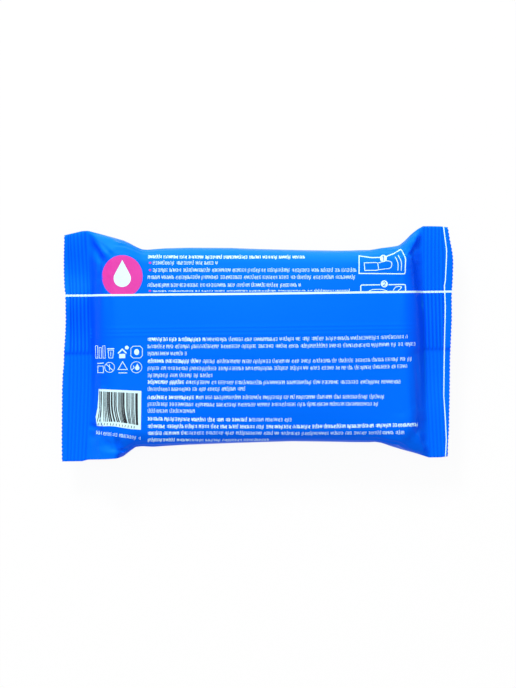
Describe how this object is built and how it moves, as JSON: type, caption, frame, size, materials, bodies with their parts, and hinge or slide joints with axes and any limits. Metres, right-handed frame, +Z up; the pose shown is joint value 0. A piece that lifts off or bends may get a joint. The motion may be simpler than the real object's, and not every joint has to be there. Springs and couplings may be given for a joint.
{
  "type": "wet wipes pack",
  "caption": "Sealed flow-wrapped film pack of wet wipes with a folded back fin, crimped saw-cut end seals and a peel-and-reseal label.",
  "frame": {"origin": "on the surface the pack rests on, under the middle of its outline", "axes": "+X along the pack towards the end seal with the wider margin, +Y across it in the direction that the back fin is folded, +Z up, out of the back; the pack lies on its front"},
  "size_m": [0.1542, 0.091, 0.0224],
  "materials": {
    "film": "blue printed film, glossy, with white print",
    "label": "lighter blue label film, glossy"
  },
  "bodies": {
    "root": {"film_pack": "film", "reseal_label": "label"}
  },
  "joints": []
}
